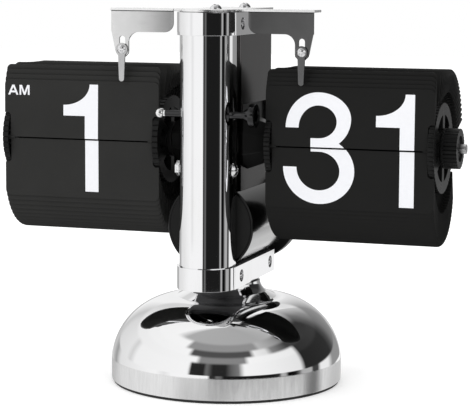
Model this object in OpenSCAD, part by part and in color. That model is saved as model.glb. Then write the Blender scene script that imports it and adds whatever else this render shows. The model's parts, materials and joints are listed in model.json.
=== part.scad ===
// Flip number clock on a domed base: a column carries a clockwork case and a battery tube,
// with an hour drum of flaps on its left and a minute drum on its right.
// +X is to the right seen from the front, the front faces -Y, +Z is up.
// The origin is the centre of the base's underside.

/* [Base] */
// Radius of the domed base
base_r = 50; // [44:0.5:60]
// Height of the upright band round the base
band_h = 10.7; // [8:0.1:13]
// Height of the dome's shoulder above the table
shoulder_h = 36.5; // [33:0.5:40]
// Radius of the shoulder, where the neck begins
shoulder_r = 25; // [22:0.5:28]
// How far the dome's side bulges beyond a straight cone
dome_bulge = 6.1; // [3:0.1:8]
// Radius of the neck's top
neck_r = 14.5; // [12:0.1:17]
// Height of the neck's top
neck_h = 44; // [42:0.5:52]
// Wall of the spun shell
shell_t = 1.2; // [0.8:0.1:2]
// Thickness of the soft pad underneath
pad_t = 1.2; // [0.8:0.1:2]
// Thickness of the iron weight
weight_t = 9; // [6:0.5:12]

/* [Column] */
// Outer radius of the column's half tube
tube_r = 11.6; // [9:0.1:14]
// Wall of the half tube
tube_t = 1; // [0.8:0.1:1.5]
// Distance from the gears to the rear edges of the chassis
back_margin = 2.7; // [2.7:0.1:8]
// Sheet thickness of the chassis
sheet_t = 1; // [0.8:0.1:1.2]
// Height of the upper and lower straps
strap_h = 9.5; // [8:0.1:12]
// Wall of the straps
strap_t = 1; // [0.8:0.1:1.4]
// Diameter of the strap screws' heads
strap_screw_d = 4.6; // [4:0.1:6]

/* [Drums] */
// Distance of the drum axis behind the base centre
drum_y = -4.2; // [-6.2:0.2:-2.2]
// Radius of the circle on which the flaps hang
pin_r = 16.8; // [13:0.1:20]
// How far a drum wheel's rim reaches beyond the flaps' hinge pins
rim_w = 2.1; // [2.1:0.1:3]
// Thickness of a drum wheel
wheel_t = 2.6; // [2.4:0.1:3.5]
// Clear distance between the two sets of flaps
drum_gap = 47.6; // [44:0.1:58]
// Radius of a drum's hub
hub_r = 6.5; // [5:0.1:7]
// Radius of the drum shafts
shaft_r = 2; // [1.6:0.1:2.4]

/* [Flaps] */
// Width of a flap
card_w = 71.7; // [58:0.1:88]
// Height of a flap from its hinge line to its free edge
card_h = 25.2; // [20:0.1:30.4]
// Thickness of a flap
card_t = 0.25; // [0.2:0.05:0.3]
// Corner radius of a flap
card_r = 2.2; // [1:0.1:4]
// Number of minute flaps
minute_count = 60; // [60]
// Number of hour flaps
hour_count = 48; // [48]

/* [Top bracket] */
// Distance of a finger from the centre line
finger_x = 39.7; // [34:0.1:48]
// Length of a finger from its screw to its tip
finger_l = 13.7; // [11:0.1:18]
// Width of a finger's stem
finger_w = 3.4; // [3:0.1:4]
// Height of an arm's top above its finger screw
arm_rise = 16.4; // [15:0.1:19]
// Height of an arm's front plate
arm_h = 9; // [7:0.1:10]
// Sheet thickness of the bracket
arm_t = 1; // [0.8:0.1:1.4]
// Depth of the flange on top of an arm
flange_d = 10; // [8:0.5:12]
// Travel of a finger in its slot
finger_travel = 2; // [1:0.1:2.4]

/* [Battery] */
// Radius of the battery cell
cell_r = 17.1; // [13.1:0.1:17.1]
// Length of the battery cell
cell_l = 61.5; // [50:0.5:61.5]
// Room round the cell in its tube
cell_room = 0.9; // [0.7:0.1:2]
// Wall of the battery tube
battery_t = 1; // [0.8:0.1:1.2]

/* [Setting knob] */
// Radius of the setting knob
knob_r = 8.4; // [7:0.1:10]
// Length of the setting knob
knob_l = 6.8; // [5:0.1:9]
// Number of ribs round the knob
knob_ribs = 30; // [24:2:36]

/* [Gears] */
// Gear module
gear_m = 0.4; // [0.38:0.01:0.42]
// Thickness of a gear wheel
gear_t = 1.5; // [1.2:0.1:1.8]

/* [Hidden] */
// Teeth: the motor pinion turns the minute gear, and two reductions make 1/24 for the hours
motor_teeth = 15;
minute_teeth = 60;
minute_pinion_teeth = 14;
arbor_teeth = 56;
arbor_pinion_teeth = 10;
hour_teeth = 60;

// Named clearances
fit_gap = 0.02;     // a bore on its own shaft
run_gap = 0.05;     // a shaft in a bearing
air = 0.3;          // moving pieces that pass each other
seat = 0.05;        // parts that sit in one another
$fn = 64;

// Base
dome_points = 16;
neck_points = 8;
weight_r = base_r - shell_t - 2;

// Gears: radii over the teeth, the arbor behind the drum axis, and the case round them
wall = 1.2;
minute_tip_r = gear_m * (minute_teeth / 2 + 0.75);
arbor_tip_r = gear_m * (arbor_teeth / 2 + 0.75);
gear_centre = gear_m * (minute_pinion_teeth + arbor_teeth) / 2;
arbor_y = drum_y + gear_centre;
motor_drop = gear_m * (motor_teeth + minute_teeth) / 2;
motor_r = 13;

// Column: its web stands just in front of the flaps and clear of the gears
chassis_x = tube_r + 0.4;
web_y = drum_y - max(pin_r + 1.3, max(minute_tip_r + 0.3, motor_r) + wall + sheet_t + 0.5);
chassis_back = arbor_y + arbor_tip_r + back_margin;
chassis_d = chassis_back - web_y;
bend_r = 5;
tube_y = web_y - 3.8;
strap_x = chassis_x + seat + strap_t;
strap_back = chassis_back + 3.5;
foot_z = neck_h + 0.3;
battery_r = cell_r + cell_room + battery_t;
battery_z = foot_z + strap_h - 2.8 + battery_r;
saddle_gap = 0.1;
case_z = battery_z + battery_r + 1;
drum_z = case_z + minute_tip_r + wall + 1.2;

// Flaps: the front of the pin circle is the plane of the front flaps
wheel_r = pin_r + rim_w;
card_y = drum_y - pin_r;
card_x = drum_gap / 2;
drum_mid = card_x + card_w / 2;
root_gap = 0.15;
notch_w = wheel_t + 0.15;
notch_h = sqrt(wheel_r * wheel_r - (pin_r - 0.9) * (pin_r - 0.9)) + 0.5;
tab_l = 1.25;
tab_h = 0.7;
pin_stub_r = 0.45;
pin_in = 2;
stack = 2.2;
upright_turn = 26;
pack_rise = card_h + pin_r * sin(upright_turn);
trailing_lean = 0.22;
lower_gap = 0.42;
lower_start = 1.2;
groove_in = pin_r - 1.8;
groove_out = pin_r + 1.3;
groove_d = 1.5;

// Top: the finger's tip stands just clear of the falling flap's free edge
tip_r = 1.2;
tip_z = drum_z + card_h + 0.25;
finger_z = tip_z + finger_l;
finger_y = card_y - 1.6;
arm_y = finger_y;
top_z = finger_z + arm_rise;
strap_top_z = top_z - strap_h - 0.15;
arm_end_x = finger_x + 5;
arm_inner_x = tube_r + 5;
tab_x = 5.8;
slot_r = 1.35;
screw_r = 0.9;

// Clockwork case
case_x = chassis_x - sheet_t - 0.2;
case_y0 = web_y + sheet_t + 0.3;
case_y1 = chassis_back - 1.4;
case_corner = bend_r - sheet_t - 0.2;
motor_offset = 11;
motor_z = drum_z + motor_drop + motor_offset;
case_top = motor_z + motor_r + 1.8;
plate_t = 1.6;
arbor_r = 0.8;
boss_l = 1.2;
inner_shaft_r = 1.5;
minute_gear_x = case_x - wall - boss_l - air - gear_t;
motor_x = -case_x + wall + air;
motor_nose = 1;
motor_l = minute_gear_x - 0.6 - motor_nose - motor_x;
pinion_x = plate_t / 2 + 0.4;
bush_r = 3.4;
collar_x = case_x + 1.9;
wheel_x = card_x - 0.2;
outer_wheel_x = card_x + card_w + 0.2 - wheel_t;
window_r0 = hub_r + 1.5;
window_r1 = groove_in - 1;

// Battery
disc_t = 1;
cell_y = web_y + disc_t + 2;
ring_y = cell_y + cell_l - 10;
ring_l = 6.5;
ring_r = battery_r + 3.5;
cap_y = ring_y + ring_l;
cap_r = ring_r - 2;
cap_l = cell_y + cell_l + 2.2 - cap_y + 1.6;
cap_grips = 24;

// Stay rod and cross screw through the column tube
rod_r = 1.5;
rod_z = drum_z + 12.8;
cross_z = drum_z - 10.2;

// ---------------------------------------------------------------- helpers

// Cylinder along +X that starts at x
module rod_x(r, x, l) {
    translate([x, 0, 0]) rotate([0, 90, 0]) cylinder(r = r, h = l);
}

// Cylinder along +Y that starts at y
module rod_y(r, y, l) {
    translate([0, y, 0]) rotate([-90, 0, 0]) cylinder(r = r, h = l);
}

// Tube along +X
module tube_x(r, bore, x, l) {
    difference() {
        rod_x(r, x, l);
        rod_x(bore, x - 1, l + 2);
    }
}

// Things drawn about the drum axis
module on_drum_axis() {
    translate([0, drum_y, drum_z]) children();
}

// A child and its mirror image on the left side
module both_sides() {
    children();
    mirror([1, 0, 0]) children();
}

// Pan-head screw: the underside of the head is at the origin and the shank runs down -Z
module pan_screw(head_r, head_h, shank_r, shank_l) {
    dome_r = (head_r * head_r + head_h * head_h) / (2 * head_h);
    slot_w = head_r * 0.3;
    difference() {
        union() {
            intersection() {
                translate([0, 0, head_h - dome_r]) sphere(r = dome_r);
                cylinder(r = head_r + 1, h = head_h + 1);
            }
            translate([0, 0, -shank_l]) cylinder(r = shank_r, h = shank_l + head_h / 4);
        }
        for (turn = [0, 90]) rotate([0, 0, turn])
            translate([-head_r * 0.6, -slot_w / 2, head_h * 0.55]) cube([head_r * 1.2, slot_w, head_h]);
    }
}

// Involute tooth form with room for backlash, as one outline
function flank_turn(ratio) = sqrt(ratio * ratio - 1) * 180 / PI - acos(1 / ratio);
module gear_outline(teeth, phase) {
    pitch_r = gear_m * teeth / 2;
    base_circle = pitch_r * cos(20);
    root_r = pitch_r - gear_m * 1.25;
    outer_r = pitch_r + gear_m * 0.75;
    half_tooth = 90 / teeth * 0.7;
    start_r = max(base_circle, root_r + 0.02);
    mid_turn = flank_turn(pitch_r / base_circle);
    radii = [for (i = [0 : 3]) start_r + (outer_r - start_r) * i / 3];
    turns = [for (r = radii) half_tooth + mid_turn - flank_turn(max(r / base_circle, 1))];
    gap_turn = min(half_tooth + mid_turn, 180 / teeth * 0.8);
    polygon([
        for (i = [0 : teeth - 1]) let (at = phase + 360 * i / teeth) each [
            root_r * [cos(at - gap_turn), sin(at - gap_turn)],
            for (j = [0 : 3]) radii[j] * [cos(at - turns[j]), sin(at - turns[j])],
            for (j = [3 : -1 : 0]) radii[j] * [cos(at + turns[j]), sin(at + turns[j])],
            root_r * [cos(at + gap_turn), sin(at + gap_turn)]
        ]
    ]);
}

// Gear along +X from x, turned so that angle 0 of its outline lies along +Y
module gear_x(teeth, phase, x, l, bore) {
    translate([x, 0, 0]) rotate([90, 0, 90]) difference() {
        linear_extrude(l) gear_outline(teeth, phase);
        translate([0, 0, -1]) cylinder(r = bore, h = l + 2);
    }
}

// ---------------------------------------------------------------- base

module base_pad() {
    color([0.05, 0.05, 0.05]) cylinder(r = base_r - 0.8, h = pad_t, $fn = 128);
}

module base_weight() {
    color([0.25, 0.25, 0.26]) translate([0, 0, pad_t + 0.1]) difference() {
        cylinder(r = weight_r, h = weight_t, $fn = 128);
        translate([0, 0, -1]) cylinder(r = 9, h = weight_t + 2);
    }
}

// Half section of the spun shell, moved inwards by t for its inner face: an arc of the
// given bulge from the band to the shoulder, then a trumpet-shaped neck
function dome_side(t) =
    let (
        chord = [shoulder_r - base_r, shoulder_h - band_h],
        half = norm(chord) / 2,
        arc_r = (half * half + dome_bulge * dome_bulge) / (2 * dome_bulge),
        middle = [base_r, band_h] + chord / 2,
        centre = middle + [-chord.y, chord.x] / (2 * half) * (arc_r - dome_bulge),
        start = atan2(band_h - centre.y, base_r - centre.x),
        sweep = 2 * asin(half / arc_r)
    ) [
        for (i = [0 : dome_points]) let (a = start + sweep * i / dome_points)
            centre + (arc_r - t) * [cos(a), sin(a)]
    ];
function neck_side(t) = [
    for (i = [1 : neck_points]) let (a = 90 * i / neck_points)
        [neck_r + (shoulder_r - neck_r) * (1 - sin(a)) - t,
         shoulder_h + (neck_h - shoulder_h) * (1 - cos(a)) - t * (1 - i / neck_points)]
];

module base_dome() {
    outer = concat([[base_r, pad_t]], dome_side(0), neck_side(0));
    inner = concat([[base_r - shell_t, pad_t]], dome_side(shell_t), neck_side(shell_t));
    last = len(inner) - 1;
    bolt_bore = 3.2;
    color([0.8, 0.8, 0.82]) rotate_extrude($fn = 128) polygon(concat(
        outer,
        [[bolt_bore, neck_h], [bolt_bore, neck_h - 3], [neck_r - shell_t, neck_h - 3]],
        [for (i = [last - 3 : -1 : 0]) inner[i]]
    ));
}

module base_bolt() {
    head_h = 4;
    head_z = neck_h - 3 - head_h;
    color([0.6, 0.6, 0.62]) union() {
        translate([0, 0, head_z]) cylinder(r = 5.8, h = head_h, $fn = 6);
        translate([0, 0, head_z]) cylinder(r = 3, h = foot_z + 5 - head_z);
    }
}

// ---------------------------------------------------------------- column

// Solid that closes one end of the column, inside a strap
module end_block(z, h) {
    translate([-chassis_x, web_y + 0.3, z]) cube([2 * chassis_x, strap_back - web_y - 1, h]);
}

module foot_block() {
    color([0.2, 0.2, 0.21]) difference() {
        end_block(foot_z, strap_h);
        translate([0, 0, battery_z]) rod_y(battery_r + saddle_gap, web_y - 1, strap_back - web_y + 2);
        translate([0, 0, foot_z - 1]) cylinder(r = 3.05, h = 20);
        strap_screw_places() screw_hole();
    }
}

module head_block() {
    color([0.2, 0.2, 0.21]) difference() {
        end_block(strap_top_z, top_z - strap_top_z);
        translate([0, 0, strap_top_z - foot_z]) strap_screw_places() screw_hole();
        top_screw_places() translate([0, 0, -6]) cylinder(r = screw_r + fit_gap, h = 10);
    }
}

// Strap: a sheet that runs round the tube and back along both sides of an end block
module strap(z, h) {
    inner_x = strap_x - strap_t;
    difference() {
        union() {
            translate([0, tube_y, z]) cylinder(r = tube_r + seat + strap_t, h = h);
            translate([-strap_x, tube_y - 1.6, z]) cube([2 * strap_x, strap_back - tube_y + 1.6, h]);
        }
        translate([0, tube_y, z - 1]) cylinder(r = tube_r + seat, h = h + 2);
        translate([-inner_x, tube_y, z - 1]) cube([2 * inner_x, strap_back - tube_y + 5, h + 2]);
    }
}

// The two screws on each side of the lower strap
module strap_screw_places() {
    for (y = [web_y + 3.5, strap_back - 6.2])
        both_sides() translate([strap_x - strap_t, y, foot_z + strap_h / 2]) rotate([0, 90, 0]) children();
}

module screw_hole() {
    translate([0, 0, -8]) cylinder(r = screw_r + fit_gap, h = 9.5);
}

module strap_holes() {
    translate([0, 0, -1]) cylinder(r = strap_screw_d / 2 + 0.25, h = 4);
}

module lower_strap() {
    color([0.82, 0.82, 0.84]) difference() {
        strap(foot_z, strap_h);
        strap_screw_places() strap_holes();
    }
}

module upper_strap() {
    color([0.82, 0.82, 0.84]) translate([0, 0, strap_top_z - foot_z]) difference() {
        strap(foot_z, strap_h);
        strap_screw_places() strap_holes();
    }
}

module strap_screws() {
    color([0.75, 0.75, 0.77]) for (z = [0, strap_top_z - foot_z]) translate([0, 0, z])
        strap_screw_places() translate([0, 0, -seat]) pan_screw(strap_screw_d / 2, 1.2, screw_r, 7);
}

module column_tube() {
    color([0.85, 0.85, 0.87]) difference() {
        translate([0, tube_y, foot_z + 0.1]) cylinder(r = tube_r, h = top_z - foot_z - 0.2);
        translate([0, tube_y, foot_z - 1]) cylinder(r = tube_r - tube_t, h = top_z - foot_z + 2);
        translate([-tube_r - 1, web_y - 0.1, foot_z - 1]) cube([2 * tube_r + 2, tube_r * 2, top_z]);
        translate([0, tube_y, cross_z]) rod_x(screw_r * 2 + 0.1, -tube_r - 2, 2 * tube_r + 4);
        translate([0, tube_y, rod_z]) rod_x(rod_r + 0.1, -tube_r - 2, 2 * tube_r + 4);
    }
}

// U channel with a window on each side where the drum shafts come out
module chassis() {
    z1 = strap_top_z - 0.2;
    z0 = battery_z;
    inner_r = bend_r - sheet_t;
    window_z0 = drum_z - 10;
    window_h = 26.5;
    color([0.35, 0.35, 0.36]) difference() {
        union() {
            for (side = [-1, 1]) translate([side * (chassis_x - bend_r), web_y + bend_r, z0])
                cylinder(r = bend_r, h = z1 - z0);
            translate([bend_r - chassis_x, web_y, z0]) cube([2 * (chassis_x - bend_r), bend_r, z1 - z0]);
            translate([-chassis_x, web_y + bend_r, z0])
                cube([2 * chassis_x, chassis_d - bend_r, z1 - z0]);
        }
        for (side = [-1, 1]) translate([side * (chassis_x - bend_r), web_y + bend_r, z0 - 1])
            cylinder(r = inner_r, h = z1 - z0 + 2);
        translate([bend_r - chassis_x, web_y + sheet_t, z0 - 1])
            cube([2 * (chassis_x - bend_r), bend_r, z1 - z0 + 2]);
        translate([sheet_t - chassis_x, web_y + bend_r, z0 - 1])
            cube([2 * (chassis_x - sheet_t), chassis_d, z1 - z0 + 2]);
        translate([0, 0, battery_z]) rod_y(battery_r + saddle_gap, web_y - 1, chassis_d + 2);
        translate([-chassis_x - 1, web_y - 1, battery_z - 1]) cube([2 * chassis_x + 2, disc_t + 2, battery_r + 2]);
        translate([-chassis_x - 1, web_y + bend_r + 2.2, window_z0])
            cube([2 * chassis_x + 2, chassis_d - bend_r - 8, window_h]);
    }
}

// Long screw through the tube, with its nut on the far side
module cross_screw() {
    color([0.8, 0.8, 0.82]) translate([0, tube_y, cross_z]) union() {
        rod_x(screw_r * 2, -tube_r - 0.5, 2 * tube_r + 1);
        translate([tube_r + 0.05, 0, 0]) rotate([0, 90, 0]) pan_screw(3.2, 2, screw_r, 1);
        rod_x(3.2, -tube_r - 1.85, 1.8, $fn = 6);
    }
}

// Rod across the column: a domed end on the left, a cone on the right
module stay_rod() {
    end_x = card_x - 0.6;
    color([0.9, 0.9, 0.91]) translate([0, tube_y, rod_z]) {
        rod_x(rod_r, -end_x + 2.2, end_x - 2.2 + card_x - 6);
        translate([-end_x + 2.2, 0, 0]) sphere(r = 2.2);
        translate([card_x - 8.5, 0, 0]) rotate([0, 90, 0]) cylinder(r1 = rod_r, r2 = 3.6, h = 3.5);
    }
}

module stay_ring() {
    color([0.9, 0.9, 0.91]) translate([0, tube_y, rod_z]) tube_x(5, 2.6, card_x - 4.9, 2.6);
}

// ---------------------------------------------------------------- top bracket

// Outline of the right arm's front plate, x to the right and y up
module arm_outline() {
    low = top_z - arm_h;
    corner = 4;
    inside = 4.5;
    tab_in = finger_x - tab_x / 2;
    tab_low = finger_z - 3.2;
    difference() {
        union() {
            translate([arm_inner_x + corner, low]) square([arm_end_x - arm_inner_x - corner, top_z - low]);
            translate([arm_inner_x, low + corner]) square([corner + 1, top_z - low - corner]);
            translate([arm_inner_x + corner, low + corner]) circle(r = corner);
            polygon([
                [tab_in - inside, low + 1], [tab_in - inside, low], [tab_in, low - inside],
                [tab_in, tab_low + 1.5], [tab_in + 1.5, tab_low],
                [tab_in + tab_x - 1.5, tab_low], [tab_in + tab_x, tab_low + 1.5], [arm_end_x, low + 1]
            ]);
        }
        translate([tab_in - inside, low - inside]) circle(r = inside);
        for (z = [0, slot_r + 1 + finger_travel]) translate([finger_x, finger_z + z]) circle(r = slot_r);
        translate([finger_x - slot_r, finger_z]) square([2 * slot_r, slot_r + 1 + finger_travel]);
    }
}

module top_bracket() {
    color([0.45, 0.45, 0.46]) difference() {
        union() {
            both_sides() {
                translate([0, arm_y + arm_t, 0]) rotate([90, 0, 0]) linear_extrude(arm_t) arm_outline();
                translate([arm_inner_x, arm_y, top_z])
                    cube([arm_end_x + 0.4 - arm_inner_x, flange_d, arm_t]);
            }
            translate([-arm_inner_x - 1, arm_y + 0.4, top_z])
                cube([2 * arm_inner_x + 2, flange_d - 0.4, arm_t]);
            translate([-chassis_x, arm_y + 1, top_z]) cube([2 * chassis_x, strap_back - arm_y - 2, arm_t]);
            translate([0, tube_y, top_z]) cylinder(r = tube_r, h = arm_t);
        }
        top_screw_places() translate([0, 0, -2]) cylinder(r = screw_r + 0.1, h = 6);
    }
}

module top_screw_places() {
    for (y = [web_y + 6.3, strap_back - 1.5 - 3]) translate([0, y, top_z]) children();
}

module top_screws() {
    color([0.75, 0.75, 0.77]) top_screw_places() translate([0, 0, arm_t]) pan_screw(2.6, 2, screw_r, 5);
}

// Finger: round head, tapering stem and rounded tip, on the front of an arm
module finger(side) {
    thick = 0.8;
    color([0.7, 0.7, 0.71]) translate([side * finger_x, finger_y, 0]) rotate([90, 0, 0]) difference() {
        linear_extrude(thick) union() {
            translate([0, finger_z]) circle(r = 2.7);
            polygon([
                [-finger_w / 2, finger_z], [-tip_r, tip_z + tip_r],
                [tip_r, tip_z + tip_r], [finger_w / 2, finger_z]
            ]);
            translate([0, tip_z + tip_r]) circle(r = tip_r);
        }
        translate([0, finger_z, -1]) cylinder(r = screw_r + 0.1, h = 3);
    }
}

module finger_left() finger(-1);
module finger_right() finger(1);

// Screw and nut that hold a finger in its arm's slot
module finger_screw(side) {
    color([0.8, 0.8, 0.82]) translate([side * finger_x, finger_y - 0.8, finger_z]) rotate([90, 0, 0]) union() {
        pan_screw(2, 1, screw_r, 4);
        translate([0, 0, -3.4]) cylinder(r = 2.2, h = 1.4, $fn = 6);
    }
}

module finger_screw_left() finger_screw(-1);
module finger_screw_right() finger_screw(1);

// ---------------------------------------------------------------- flaps

// How far a flap on its way over the top leans back: the first stand upright, the next keep
// their tops level with them, and those behind the drum hang further back
function level_lean(turn) = acos(min(1, (pack_rise - pin_r * sin(min(turn, 90))) / card_h));
function lean_back(turn) = 1 + level_lean(turn) + max(0, turn - 90) * trailing_lean;
// How far a flap below leans out
function lean_out(turn) = 0.07 * turn;
// Flaps near the front stand behind one another instead of exactly on the pin circle
function step_back(turn) = stack * (1 - exp(-turn / 25)) * exp(-turn / 100);

// One flap: its hinge line is the X axis at the drum's middle and it stands up along Z
module flap_outline(top) {
    half = card_w / 2;
    inner = half - notch_w;
    polygon([
        [-inner, root_gap], [-inner - tab_l, root_gap], [-inner - tab_l, tab_h], [-inner, tab_h],
        [-inner, notch_h - 1], [-inner - 1, notch_h], [-half, notch_h],
        for (a = [180 : -15 : 90]) [-half + card_r + card_r * cos(a), top - card_r + card_r * sin(a)],
        for (a = [90 : -15 : 0]) [half - card_r + card_r * cos(a), top - card_r + card_r * sin(a)],
        [half, notch_h], [inner + 1, notch_h], [inner, notch_h - 1],
        [inner, tab_h], [inner + tab_l, tab_h], [inner + tab_l, root_gap], [inner, root_gap]
    ]);
}

module flap() {
    translate([0, card_t / 2, 0]) rotate([90, 0, 0]) linear_extrude(card_t) flap_outline(card_h);
}

// The flap at a turn from the front of the pin circle, going up and over
module flap_up(turn) {
    lean = lean_back(turn);
    translate([0, drum_y - pin_r * cos(turn), drum_z + pin_r * sin(turn)])
        rotate([-lean, 0, 0]) translate([0, step_back(turn), 0]) flap();
}

// The flap at a turn below the front of the pin circle, hanging down
module flap_down(turn) {
    lean = lean_out(turn);
    translate([0, drum_y - pin_r * cos(turn), drum_z - pin_r * sin(turn)])
        rotate([lean, 0, 0]) translate([0, lower_gap + step_back(turn), 0]) mirror([0, 0, 1]) flap();
}

module upper_pack(count) {
    color([0.1, 0.1, 0.1]) for (i = [1 : count / 2 - 1]) flap_up(i * 360 / count);
}

module lower_pack(count) {
    color([0.1, 0.1, 0.1]) for (i = [0 : count / 2 - 1]) flap_down(lower_start + i * 360 / count);
}

module falling_flap() {
    half = card_w / 2 - notch_w;
    color([0.12, 0.12, 0.12]) translate([0, card_y, drum_z]) {
        rotate([-lean_back(0), 0, 0]) flap();
        for (side = [-1, 1]) translate([side * half, 0, 0])
            rod_x(pin_stub_r, side > 0 ? -pin_in : 0.2 - tab_l, pin_in + tab_l - 0.2);
    }
}

module minute_flaps_upper() translate([drum_mid, 0, 0]) upper_pack(minute_count);
module minute_flaps_lower() translate([drum_mid, 0, 0]) lower_pack(minute_count);
module minute_falling_flap() translate([drum_mid, 0, 0]) falling_flap();
module hour_flaps_upper() translate([-drum_mid, 0, 0]) upper_pack(hour_count);
module hour_flaps_lower() translate([-drum_mid, 0, 0]) lower_pack(hour_count);
module hour_falling_flap() translate([-drum_mid, 0, 0]) falling_flap();

// ---------------------------------------------------------------- drums

// Wheel from x to x + wheel_t, with the flaps' groove on its +X face and a notch for each flap
module wheel(count, x) {
    color([0.08, 0.08, 0.08]) difference() {
        rod_x(wheel_r, x, wheel_t, $fn = 128);
        rod_x(shaft_r + fit_gap, x - 1, wheel_t + 2);
        translate([x + wheel_t - groove_d, 0, 0]) rotate([0, 90, 0]) difference() {
            cylinder(r = groove_out, h = groove_d + 1, $fn = 128);
            translate([0, 0, -1]) cylinder(r = groove_in, h = groove_d + 3, $fn = 128);
        }
        for (i = [0 : 5]) translate([x, 0, 0]) rotate([i * 60, 0, 0]) rotate([90, 0, 90])
            translate([0, 0, -1]) linear_extrude(wheel_t + 2) polygon([
                for (a = [-17, 0, 17]) window_r0 * [cos(a), sin(a)],
                for (a = [22, 11, 0, -11, -22]) window_r1 * [cos(a), sin(a)]
            ]);
        for (i = [0 : count - 1]) rotate([i * 360 / count, 0, 0]) translate([0, wheel_r + 0.1, 0])
            rod_x(0.5, x - 1, wheel_t + 2, $fn = 4);
    }
}

module minute_wheel_inner() on_drum_axis() wheel(minute_count, wheel_x);
module minute_wheel_outer() on_drum_axis() translate([2 * outer_wheel_x + wheel_t, 0, 0])
    mirror([1, 0, 0]) wheel(minute_count, outer_wheel_x);
module hour_wheel_inner() on_drum_axis() mirror([1, 0, 0]) wheel(hour_count, wheel_x);
module hour_wheel_outer() on_drum_axis() translate([-2 * outer_wheel_x - wheel_t, 0, 0])
    wheel(hour_count, outer_wheel_x);

module hub() {
    x = wheel_x + wheel_t;
    color([0.1, 0.1, 0.1]) tube_x(hub_r, shaft_r + fit_gap, x, outer_wheel_x - x);
}

module minute_hub() on_drum_axis() hub();
module hour_hub() on_drum_axis() mirror([1, 0, 0]) hub();

// Stepped collar between the case and the inner wheel
module collar() {
    color([0.08, 0.08, 0.08]) difference() {
        union() {
            rod_x(4.6, collar_x, wheel_x - collar_x);
            rod_x(6, wheel_x - 5, 2);
            rod_x(7.5, wheel_x - 2, 2);
        }
        rod_x(shaft_r + fit_gap, collar_x - 1, wheel_x);
    }
}

module minute_collar() on_drum_axis() collar();
module hour_collar() on_drum_axis() mirror([1, 0, 0]) collar();

// Shaft from the gear plate out to end_x
module shaft(end_x) {
    color([0.75, 0.75, 0.76]) union() {
        rod_x(inner_shaft_r, 0.1, case_x);
        rod_x(shaft_r, case_x - wall - 0.3, end_x - case_x + wall + 0.3);
    }
}

module minute_shaft() on_drum_axis() shaft(outer_wheel_x + wheel_t + 0.3 + knob_l + 2.6);
module hour_shaft() on_drum_axis() mirror([1, 0, 0]) shaft(outer_wheel_x + wheel_t + 0.9);

module setting_knob() {
    x = outer_wheel_x + wheel_t + 0.3;
    rib_r = 0.45;
    color([0.09, 0.09, 0.09]) on_drum_axis() difference() {
        rod_x(knob_r, x, knob_l, $fn = 96);
        rod_x(shaft_r + fit_gap, x - 1, knob_l + 2);
        rod_x(knob_r - 3, x + knob_l - 0.8, 2);
        for (i = [0 : knob_ribs - 1]) rotate([i * 360 / knob_ribs, 0, 0]) translate([0, knob_r, 0])
            rod_x(rib_r, x + 1, knob_l, $fn = 4);
    }
}

// ---------------------------------------------------------------- clockwork

// Block from the centre to x, rounded where the chassis bends round it, and drawn in by inset
module case_block(x, inset) {
    r = case_corner - inset;
    y0 = case_y0 + inset;
    z0 = case_z + inset;
    h = case_top - case_z - 2 * inset;
    translate([seat, y0 + r, z0]) cube([x - seat, case_y1 - case_y0 - 2 * inset - r, h]);
    translate([seat, y0, z0]) cube([x - r - seat, r + 1, h]);
    translate([x - r, y0 + r, z0]) cylinder(r = r, h = h);
}

// Half of the case on the +X side, open towards the centre
module case_half() {
    color([0.07, 0.07, 0.07]) difference() {
        case_block(case_x, 0);
        translate([-1, 0, 0]) case_block(case_x - wall + 1, wall);
        on_drum_axis() rod_x(bush_r + fit_gap, case_x - wall - 1, wall + 2);
        case_screw_places() rod_x(screw_r + fit_gap, 0, case_x + 1);
    }
    color([0.07, 0.07, 0.07]) translate([0, arbor_y, drum_z])
        tube_x(arbor_r + 1.6, arbor_r + run_gap, case_x - wall - boss_l, boss_l);
    color([0.07, 0.07, 0.07]) case_screw_places() tube_x(screw_r + 1, screw_r + fit_gap, seat, case_x - wall - seat);
}

module case_screw_places() {
    inset = wall + screw_r + 0.7;
    for (y = [case_y0 + inset, case_y1 - inset], z = [case_z + inset, case_top - inset])
        translate([0, y, z]) children();
}

module gearcase_right() case_half();
module gearcase_left() mirror([1, 0, 0]) case_half();

module gearcase_screws() {
    color([0.7, 0.7, 0.71]) case_screw_places() rod_x(screw_r, 0.5 - case_x, 2 * case_x - 1);
}

// Plate in the middle of the case that carries the inner ends of the shafts
module gear_plate() {
    inset = wall + 0.2;
    corner = 2 * screw_r + 3.2;
    top = drum_z + 12;
    color([0.75, 0.62, 0.3]) difference() {
        translate([-plate_t / 2, case_y0 + inset, case_z + inset])
            cube([plate_t, case_y1 - case_y0 - 2 * inset, top - case_z - inset]);
        for (y = [case_y0 + inset - 1, case_y1 - inset - corner + 1])
            translate([-plate_t, y, case_z + inset - 1]) cube([2 * plate_t, corner, corner]);
        on_drum_axis() rod_x(inner_shaft_r + run_gap, -2, 4);
        translate([0, arbor_y, drum_z]) rod_x(arbor_r + run_gap, -2, 4);
    }
}

module shaft_bushes() {
    color([0.8, 0.66, 0.32]) both_sides() on_drum_axis()
        tube_x(bush_r, shaft_r + run_gap, case_x - wall, collar_x - 0.3 - case_x + wall);
}

// Flat timer motor with its output shaft low on its face
module motor_body() {
    color([0.6, 0.6, 0.62]) difference() {
        union() {
            translate([0, drum_y, motor_z]) rod_x(motor_r, motor_x, motor_l);
            translate([0, drum_y, motor_z]) rod_x(motor_r - 6, motor_x + motor_l, motor_nose);
        }
        translate([0, drum_y, motor_z - motor_offset]) rod_x(1, motor_x + motor_l - 3, 4);
    }
}

module motor_pinion() {
    x = motor_x + motor_l - 2.8;
    color([0.9, 0.88, 0.8]) translate([0, drum_y, motor_z - motor_offset]) union() {
        rod_x(0.95, x, minute_gear_x + gear_t + 0.2 - x);
        gear_x(motor_teeth, -90, minute_gear_x - 0.2, gear_t + 0.4, 0.9);
    }
}

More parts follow.
